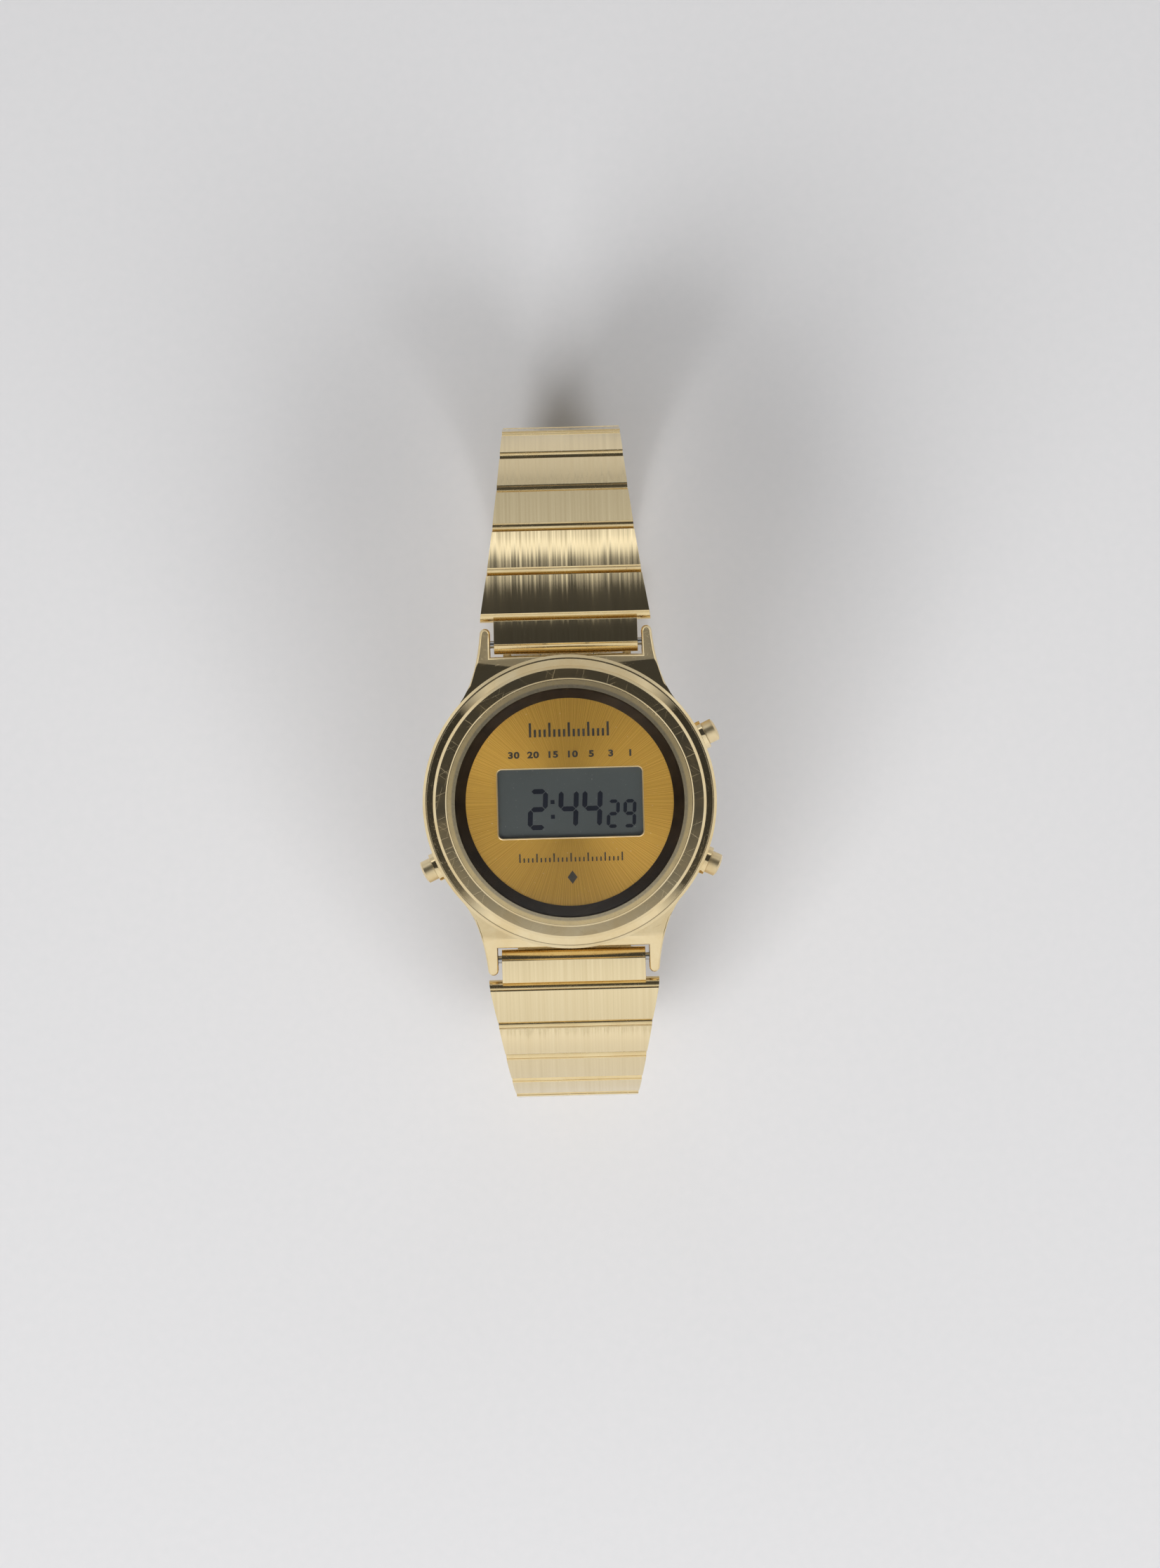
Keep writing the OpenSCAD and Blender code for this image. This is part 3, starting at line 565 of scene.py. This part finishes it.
# Dial print: glossy black ink, a hair above the plate. It holds a row of plain numbers, and
# plain scales of ticks and a lozenge where nothing else is wanted. Sizes are in mm.
PRINT_LOW, PRINT_HIGH = DIAL_TOP + 0.002 * MM, DIAL_TOP + 0.02 * MM
NUMBERS = ("30", "20", "15", "10", "5", "3", "1")
FIRST_NUMBER_X, NUMBER_Y, NUMBER_STEP = -5.79, 5.02, 2.05
NUMBER_SIZE, NUMBER_WIDENED, NUMBER_THICKENED, NUMBER_SPACING = 0.92, 1.24, 0.04, 1.12
LOZENGE = [(0.1, -8.65), (0.62, -7.95), (0.1, -7.25), (-0.42, -7.95)]


def black_ink():
    """Printing ink, a little uneven."""
    finish, tree, shader = new_finish("black_ink")
    cover = noise(tree, 3000.0, 3.0)
    feed(tree, shader, Base_Color=tint(tree, cover, (0.012, 0.010, 0.008, 1),
                                       (0.035, 0.028, 0.018, 1)),
         Roughness=spread(tree, cover, 0.3, 0.7, 0.3, 0.45))
    return finish


ink = black_ink()


def tick_scale(count, x_middle, y_middle, length, tall, short, stroke):
    """Outlines of a row of ticks with their feet on one line, every fourth of them tall."""
    ticks = []
    for step in range(count):
        high = tall if step % 4 == 0 else short
        x = x_middle - length / 2 + length * step / (count - 1)
        ticks.append(block(x, y_middle - (tall - high) / 2, stroke, high))
    return ticks


def dial_numbers():
    """The plain numbers over the window, one raised text each, joined as one print."""
    shape = bmesh.new()
    for i, number in enumerate(NUMBERS):
        text = bpy.data.curves.new("number_" + number, "FONT")
        text.body = number
        text.size = NUMBER_SIZE * MM
        text.align_x, text.align_y = "CENTER", "CENTER"
        text.space_character = NUMBER_SPACING
        text.offset = NUMBER_THICKENED * MM
        text.extrude = (PRINT_HIGH - PRINT_LOW) / 2
        holder = bpy.data.objects.new("number_" + number, text)
        bpy.context.scene.collection.objects.link(holder)
        bpy.context.view_layer.update()
        drawn = holder.evaluated_get(bpy.context.evaluated_depsgraph_get()).to_mesh()
        place = Vector(((FIRST_NUMBER_X + NUMBER_STEP * i) * MM, NUMBER_Y * MM,
                        (PRINT_LOW + PRINT_HIGH) / 2))
        drawn.transform(Matrix.Translation(place) @ Matrix.Diagonal((NUMBER_WIDENED, 1, 1, 1)))
        shape.from_mesh(drawn)
        bpy.data.objects.remove(holder)
    show_on(piece_from(shape, "dial_numbers", ink), "head")


upper_scale = tick_scale(17, x_middle=0.1, y_middle=7.66, length=8.2, tall=1.5, short=0.8,
                         stroke=0.24)
lower_scale = tick_scale(25, x_middle=0, y_middle=-5.84, length=10.8, tall=0.92, short=0.46,
                         stroke=0.15)
flat_plates("dial_scales", upper_scale + lower_scale + [LOZENGE], PRINT_LOW, PRINT_HIGH, ink)
dial_numbers()

# Dial ring: a gloss black flange, moulded and dusty, that lies over the dial's rim under the
# crystal and holds the dial down.
FLANGE_PROFILE = [(10.98, 5.0, 0), (12.15, 5.0, 0), (12.15, 5.65, 0.05), (11.9, 5.65, 0.1),
                  (10.98, 5.12, 0.04)]
TURNED_STEPS, ROUND_STEPS = 256, 5


def rounded_profile(profile):
    """A profile's points with its corners rounded, each with its outward way if on a round."""
    points = []
    count = len(profile)
    for i, (r, z, corner) in enumerate(profile):
        here = Vector((r, z))
        if corner == 0 or r == 0:
            points.append((here, None))
            continue
        before, after = Vector(profile[i - 1][:2]), Vector(profile[(i + 1) % count][:2])
        back, on = (before - here).normalized(), (after - here).normalized()
        half = back.angle(on) / 2
        reach = corner / math.tan(half)
        start, stop = here + back * reach, here + on * reach
        centre = here + (back + on).normalized() * (corner / math.sin(half))
        swell = 1 if on.cross(back) > 0 else -1
        for step in range(ROUND_STEPS + 1):
            away = (start.lerp(stop, step / ROUND_STEPS) - centre).normalized()
            points.append((centre + away * corner, away * swell))
    return points


def turned(piece_name, profile, finish):
    """A piece turned on a lathe, from a profile of (radius, height, corner radius) in mm.

    Heights are over the case back, and the profile runs anticlockwise. Its straight parts
    shade flat, and its corners round.
    """
    points = rounded_profile(profile)
    shape = bmesh.new()
    rings, facing, sides = [], [], []
    for point, away in points:
        turns = [math.tau * k / TURNED_STEPS for k in range(TURNED_STEPS)] if point.x else [0.0]
        rings.append([shape.verts.new((point.x * MM * math.cos(turn),
                                       point.x * MM * math.sin(turn), HEAD_Z + point.y * MM))
                      for turn in turns])
        facing += [away] * len(turns)
    for i, low in enumerate(rings):
        high = rings[(i + 1) % len(rings)]
        if len(low) == 1 and len(high) == 1:
            continue
        along = (points[(i + 1) % len(rings)][0] - points[i][0]).normalized()
        for k in range(TURNED_STEPS):
            n = (k + 1) % TURNED_STEPS
            if len(low) == 1:
                shape.faces.new((low[0], high[n], high[k]))
            elif len(high) == 1:
                shape.faces.new((low[k], low[n], high[0]))
            else:
                shape.faces.new((low[k], low[n], high[n], high[k]))
            sides.append(Vector((along.y, -along.x)))
    piece = piece_from(shape, piece_name, finish)
    mesh = piece.data
    mesh.shade_smooth()
    normals = []
    for face, side in zip(mesh.polygons, sides):
        for corner in face.vertices:
            out = mesh.vertices[corner].co.xy.normalized()
            away = facing[corner] or side
            normals.append((out.x * away.x, out.y * away.x, away.y))
    mesh.normals_split_custom_set(normals)
    return piece


def gloss_black():
    """Gloss black plastic with dust and faint rub marks."""
    finish, tree, shader = new_finish("gloss_black", Specular_IOR_Level=0.05)
    hairlines, clouds = marks_in(tree, hairline_scale=40.0, cloud_scale=500.0)
    feed(tree, shader, Base_Color=tint(tree, clouds, (0.011, 0.006, 0.002, 1),
                                       (0.020, 0.012, 0.005, 1)),
         Roughness=work_out(tree, "MULTIPLY_ADD", hairlines, 0.2, 0.3))
    return finish


show_for(turned("dial_flange", FLANGE_PROFILE, gloss_black()), "dial_ring")

# Crystal: clear mineral glass with a ground bevel round its top, on a thin nylon gasket. It
# lets the lamps through to the dial.
CRYSTAL_PROFILE = [(0, 5.7, 0), (12.94, 5.7, 0.03), (12.94, 6.93, 0.02), (12.1, 7.55, 0.05),
                   (0, 7.55, 0)]
BEVEL_INNER_R = 12.02 * MM
# The bevel's faces point up by more than those of the wall and by less than the top
WALL_UP, TOP_UP = 0.2, 0.99
# Heights over which the bevel's painted reflection turns from gold to grey
REFLECTED_GOLD_TO, GREY_FROM = HEAD_Z + 7.22 * MM, HEAD_Z + 7.34 * MM


def crystal_glass():
    """Clear glass, with a few hairlines cut into its face."""
    finish, tree, shader = new_finish("crystal_glass", Transmission_Weight=1.0, IOR=1.5,
                                      Base_Color=(1, 1, 1, 1), Metallic=0.0, Roughness=0.0)
    hairlines, _ = marks_in(tree, hairline_scale=12.0, cloud_scale=240.0)
    feed(tree, shader, Normal=relief(tree, hairlines, strength=0.1, depth=0.002 * MM,
                                     cut_in=True))
    return finish


def bevel_with_painted_gold():
    """Finely ground glass edge, with a painted reflection of the gold round it that turns grey
    near its top.
    """
    finish, tree, shader = new_finish("bevel_glass_painted_gold", Specular_IOR_Level=0.4)
    place = add_node(tree, "TexCoord").outputs["Object"]
    height = add_node(tree, "SeparateXYZ", {"Vector": place}).outputs["Z"]
    # Painted reflection: gold low on the bevel and grey near its top, by height
    glow = tint(tree, spread(tree, height, REFLECTED_GOLD_TO, GREY_FROM), (0.40, 0.31, 0.155, 1),
                (0.20, 0.17, 0.11, 1))
    grain = noise(tree, 1500.0, 4.0)
    feed(tree, shader, Base_Color=tint(tree, spread(tree, grain, 0.35, 0.65, 0.0, 0.35), glow,
                                       (0.25, 0.20, 0.11, 1)),
         Roughness=spread(tree, grain, 0.3, 0.7, 0.22, 0.34))
    return finish


def add_finish(piece, finish, picks):
    """The faces that a test picks take a second finish."""
    piece.data.materials.append(finish)
    for face in piece.data.polygons:
        if picks(face):
            face.material_index = 1


crystal = turned("clear_crystal", CRYSTAL_PROFILE, crystal_glass())
crystal.visible_shadow = False
add_finish(crystal, bevel_with_painted_gold(),
           lambda face: (face.center.xy.length > BEVEL_INNER_R
                         and WALL_UP < face.normal.z < TOP_UP))
show_for(crystal, "crystal")
pale_nylon = moulded_plastic("pale_nylon", (0.72, 0.64, 0.48, 1), rough=0.4)
give_finish(pale_nylon, "crystal_gasket")

# Bezel: a turned ring pressed on the case, with a bright lip, a fine groove and a rounded
# shoulder, all mirror polished.
BEZEL_PROFILE = [(12.2, 5.0, 0), (15.1, 5.0, 0.02), (15.1, 5.48, 0.04), (14.42, 5.96, 0.03),
                 (14.39, 6.42, 0.02), (14.13, 6.655, 0.02), (13.12, 6.655, 0.02),
                 (12.99, 6.78, 0.02), (12.95, 6.78, 0.01), (12.95, 5.4, 0), (12.2, 5.4, 0)]
bezel_gold = polished_plating("bezel_plating", GOLD, GOLD_DEEP, clean=0.04, cloudy=0.08)
show_for(turned("bezel_polished", BEZEL_PROFILE, bezel_gold), "bezel")

# Rim of the round case: turned with the case, with a narrow bright chamfer that stands above
# the lugs.
RIM_PROFILE = [(14.9, 4.62, 0), (15.53, 4.62, 0), (15.53, 4.77, 0.02), (15.24, 5.03, 0.02),
               (14.9, 5.03, 0)]
show_on(turned("case_rim", RIM_PROFILE, polished_gold), "head")

# Case back: a turned steel cover, brushed round and round. It snaps into a step under the
# case and squeezes its gasket.


def turned_steel_back():
    """Satin steel with fine circular brush lines."""
    finish, tree, shader = new_finish("brushed_back", Metallic=1.0, Anisotropic=0.6)
    place = add_node(tree, "TexCoord").outputs["Object"]
    apart = add_node(tree, "SeparateXYZ", {"Vector": place}).outputs
    flat = add_node(tree, "CombineXYZ", {"X": apart["X"], "Y": apart["Y"]}).outputs["Vector"]
    reach = add_node(tree, "VectorMath", {0: flat}, operation="LENGTH").outputs["Value"]
    rings = add_node(tree, "TexNoise", {"W": reach, "Scale": 9000.0, "Detail": 3.0},
                     noise_dimensions="1D").outputs["Fac"]
    _, clouds = marks_in(tree, hairline_scale=24.0, cloud_scale=200.0)
    feed(tree, shader, Base_Color=tint(tree, rings, (0.46, 0.45, 0.43, 1),
                                       (0.72, 0.71, 0.69, 1)),
         Roughness=spread(tree, clouds, 0, 1, 0.24, 0.38),
         Normal=relief(tree, rings, strength=0.3, depth=0.006 * MM))
    return finish


softened("case_back", "back_cover", turned_steel_back(), rounding=0.05 * MM)

# Spring bars: turned steel bars that hold the end pieces between the lugs, with the clasp's
# bar and pins.
give_finish(plain_steel, "upper_spring_bar", "lower_spring_bar", "clasp_bar",
            "clasp_hinge_pin", "clasp_knee_pin")

# Bracelet: folded and ground plates, brushed lengthwise, each with a rolled bar at its case
# side that is polished. Narrow end pieces fit between the lugs.
UPPER_LINKS, LOWER_LINKS = 11, 10
LOOP_MIDDLE = Vector((0, 3 * MM, 18 * MM))
PLATE_AREA = 0.5 * MM ** 2
# Cosines of the turns within which faces make one plate, and are brushed with it
ONE_PLATE, BRUSHED = 0.985, 0.97


def make_brush_lines():
    """Node group: fine lines and broad bands that run round the bracelet."""
    group, start, end = new_pattern("brush_lines", ["Fine scale", "Band scale"],
                                    ["Fine", "Bands"])
    place = add_node(group, "TexCoord").outputs["Object"]
    for output, scale, drawn_out in (("Fine", "Fine scale", 0.006), ("Bands", "Band scale", 0.03)):
        lie = add_node(group, "Mapping", {"Vector": place, "Scale": (1, drawn_out, drawn_out)})
        lines = add_node(group, "TexNoise", {"Vector": lie.outputs["Vector"], "Detail": 3.0,
                                             "Scale": start.outputs[scale]})
        group.links.new(spread(group, lines.outputs["Fac"], 0.3, 0.7), end.inputs[output])
    return group


def leaning_normal(tree, fine):
    """The surface's normal, tipped a little along each brush line by that line's own share."""
    facing = add_node(tree, "NewGeometry").outputs["Normal"]
    lengthwise = add_node(tree, "VectorMath", {0: (1, 0, 0), 1: facing},
                          operation="CROSS_PRODUCT").outputs["Vector"]
    lean = work_out(tree, "MULTIPLY_ADD", fine, 0.06, -0.03)
    push = add_node(tree, "VectorMath", {0: lengthwise, "Scale": lean}, operation="SCALE")
    tipped = add_node(tree, "VectorMath", {0: facing, 1: push.outputs["Vector"]}, operation="ADD")
    return add_node(tree, "VectorMath", {0: tipped.outputs["Vector"]},
                    operation="NORMALIZE").outputs["Vector"]


def brushed_plating():
    """Gold plating brushed lengthwise: each line leans a little its own way and catches light."""
    finish, tree, shader = new_finish("brushed_gold_plating", Metallic=1.0, Anisotropic=0.45,
                                      Anisotropic_Rotation=0.25)
    lines = add_node(tree, "Group", node_tree=make_brush_lines())
    lines.inputs["Fine scale"].default_value = 4200.0
    lines.inputs["Band scale"].default_value = 1100.0
    fine, bands = lines.outputs["Fine"], lines.outputs["Bands"]
    grooves = add_node(tree, "Tangent", direction_type="RADIAL", axis="X")
    feed(tree, shader, Base_Color=tint(tree, fine, (0.81, 0.665, 0.40, 1),
                                       (0.90, 0.755, 0.475, 1)),
         Roughness=work_out(tree, "MULTIPLY_ADD", bands, 0.05, 0.15),
         Normal=relief(tree, fine, strength=0.5, depth=0.008 * MM,
                       base=leaning_normal(tree, fine)),
         Tangent=grooves.outputs["Tangent"])
    return finish


brushed_gold = brushed_plating()
bar_gold = polished_plating("polished_bar_gold", (0.89, 0.72, 0.41, 1), (0.84, 0.65, 0.34, 1),
                            clean=0.19, cloudy=0.26)


def plate_normal(mesh):
    """Which way the crowned top of a link faces, away from the wrist."""
    sides = [(face.normal.copy(), face.area) for face in mesh.polygons
             if face.area > PLATE_AREA and face.normal.dot(face.center - LOOP_MIDDLE) > 0]
    return max((way for way, _ in sides),
               key=lambda way: sum(area for other, area in sides if other.dot(way) > ONE_PLATE))


def bracelet_plate(node_name):
    """A link or end piece with softened edges, brushed on its crowned top, polished elsewhere."""
    piece = softened(node_name, node_name + "_plated", bar_gold,
                     rounding=0.09 * MM, steps=3)
    outward = plate_normal(piece.data)
    add_finish(piece, brushed_gold, lambda face: face.normal.dot(outward) > BRUSHED)


bracelet_plate("upper_end_piece")
bracelet_plate("lower_end_piece")
for run, links in (("upper", UPPER_LINKS), ("lower", LOWER_LINKS)):
    for number in range(1, links + 1):
        bracelet_plate(f"{run}_link_{number:02d}")

# Clasp: a folded channel that closes over two bent blades. The channel is brushed like the
# links, and the blades are plain polished strip.
CHANNEL_LEVEL = 0.9
clasp = softened("clasp_cover", "clasp_channel", bar_gold, rounding=0.08 * MM)
add_finish(clasp, brushed_gold, lambda face: abs(face.normal.z) > CHANNEL_LEVEL)
blade_steel = plain_metal("blade_steel", (0.80, 0.79, 0.76, 1), rough=0.20, grain_scale=110.0,
                          stretch=110.0, turn=math.pi / 2)
for blade in ("clasp_blade_1", "clasp_blade_2"):
    softened(blade, blade + "_polished", blade_steel, rounding=0.05 * MM)

# Floor: a plain pale sheet of paper that the watch stands on. It has a faint grain, and takes
# the watch's shadow.
FLOOR_WIDTH = 3.0


def pale_floor():
    """A large pale sheet with a faint paper grain."""
    bpy.ops.mesh.primitive_grid_add(x_subdivisions=8, y_subdivisions=8, size=FLOOR_WIDTH)
    floor = bpy.context.object
    floor.name = "pale_floor"
    finish, tree, shader = new_finish("pale_paper", Roughness=0.9, Specular_IOR_Level=0.1)
    feed(tree, shader, Base_Color=tint(tree, noise(tree, 900.0, 4.0), (0.79, 0.79, 0.80, 1),
                                       (0.83, 0.82, 0.83, 1)))
    floor.data.materials.append(finish)


pale_floor()

# Light: two soft boxes before the dial light the floor and the dial. What polished metal
# mirrors are bands of light and dark all round.
BOX_SIDE, BOX_OUT, BOX_BEFORE, BOX_HEIGHT = 0.5, 0.42, 0.66, 0.74
LIT_MIDDLE = Vector((0, 0, 0.03))
# Brightness by degrees from overhead, from the horizon before 6 o'clock to that behind 12
BANDS = [(-90, 0.80), (-62, 0.90), (-38, 0.86), (-8, 0.72), (-4.1, 0.66), (-3.35, 0.05),
         (46.3, 0.05), (47.6, 0.20), (50.5, 0.30), (53, 0.95), (57, 1.35), (61, 0.95),
         (67, 0.55), (90, 0.50)]
# Brightness at the two sides, by height from 0 at the horizon to 1 overhead
SIDES = [(0.12, 0.80), (0.24, 0.70), (0.29, 0.04)]


def soft_box(name, x, radiance):
    """A square lamp that faces the watch, and that metal doesn't mirror."""
    lamp = bpy.data.lights.new(name, "AREA")
    lamp.shape = "RECTANGLE"
    lamp.size = lamp.size_y = BOX_SIDE
    lamp.energy = radiance * math.pi * BOX_SIDE ** 2
    box = bpy.data.objects.new(name, lamp)
    bpy.context.scene.collection.objects.link(box)
    box.location = (x, -BOX_BEFORE, BOX_HEIGHT)
    box.rotation_euler = (box.location - LIT_MIDDLE).to_track_quat("Z", "Y").to_euler()
    box.visible_glossy = False


soft_box("left_front_box", -BOX_OUT, radiance=6.6)
soft_box("right_front_box", BOX_OUT, radiance=4.4)


def grey_ramp(tree, place, stops):
    """Brightness by a place from 0 to 1, through the stops."""
    node = add_node(tree, "ValToRGB", {"Fac": place})
    while len(node.color_ramp.elements) < len(stops):
        node.color_ramp.elements.new(0.5)
    for element, (position, level) in zip(node.color_ramp.elements, stops):
        element.position = position
        element.color = (level, level, level, 1)
    return node.outputs["Color"]


def studio_world():
    """Light from all round, as bands from the front horizon over the top to the back."""
    world = bpy.data.worlds.new("studio")
    bpy.context.scene.world = world
    world.use_nodes = True
    tree = world.node_tree
    tree.nodes.clear()
    way = add_node(tree, "TexCoord").outputs["Generated"]
    part = add_node(tree, "SeparateXYZ", {"Vector": way}).outputs
    lean = work_out(tree, "ARCTAN2", part["Y"], part["Z"])
    turn = work_out(tree, "MULTIPLY_ADD", lean, 1 / math.pi, 0.5)
    over = grey_ramp(tree, turn, [(degrees / 180 + 0.5, level) for degrees, level in BANDS])
    sideways = spread(tree, work_out(tree, "POWER", part["X"], 2.0), 0.30, 0.55)
    sky = tint(tree, sideways, over, grey_ramp(tree, part["Z"], SIDES))
    glow = add_node(tree, "Background", {"Color": sky, "Strength": 1.0})
    add_node(tree, "OutputWorld", {"Surface": glow.outputs["Background"]})


studio_world()

# Camera: above the dial, leaning a little towards 12 o'clock and turned with the watch. It
# stands well off behind a long lens, so that the outlines stay true.
ROLL, LEAN, DISTANCE = math.radians(1.45), math.radians(2.6), 0.7
FOCAL_LENGTH, FILM_WIDTH = 152.3, 36.0
AIM_AT = Vector((1.13 * MM, 1.84 * MM, DIAL_TOP))
right = Vector((math.cos(ROLL), -math.sin(ROLL), 0))
flat_up = Vector((math.sin(ROLL), math.cos(ROLL), 0))
back = flat_up * math.sin(LEAN) + Vector((0, 0, math.cos(LEAN)))
up = back.cross(right)
lens = bpy.data.cameras.new("camera")
lens.sensor_width = FILM_WIDTH
lens.lens = FOCAL_LENGTH
lens.clip_end = 10.0
camera = bpy.data.objects.new("camera", lens)
bpy.context.scene.collection.objects.link(camera)
camera.matrix_world = Matrix.Translation(AIM_AT + back * DISTANCE) @ Matrix(
    (right, up, back)).transposed().to_4x4()
bpy.context.scene.camera = camera
bpy.context.scene.view_settings.view_transform = "Standard"
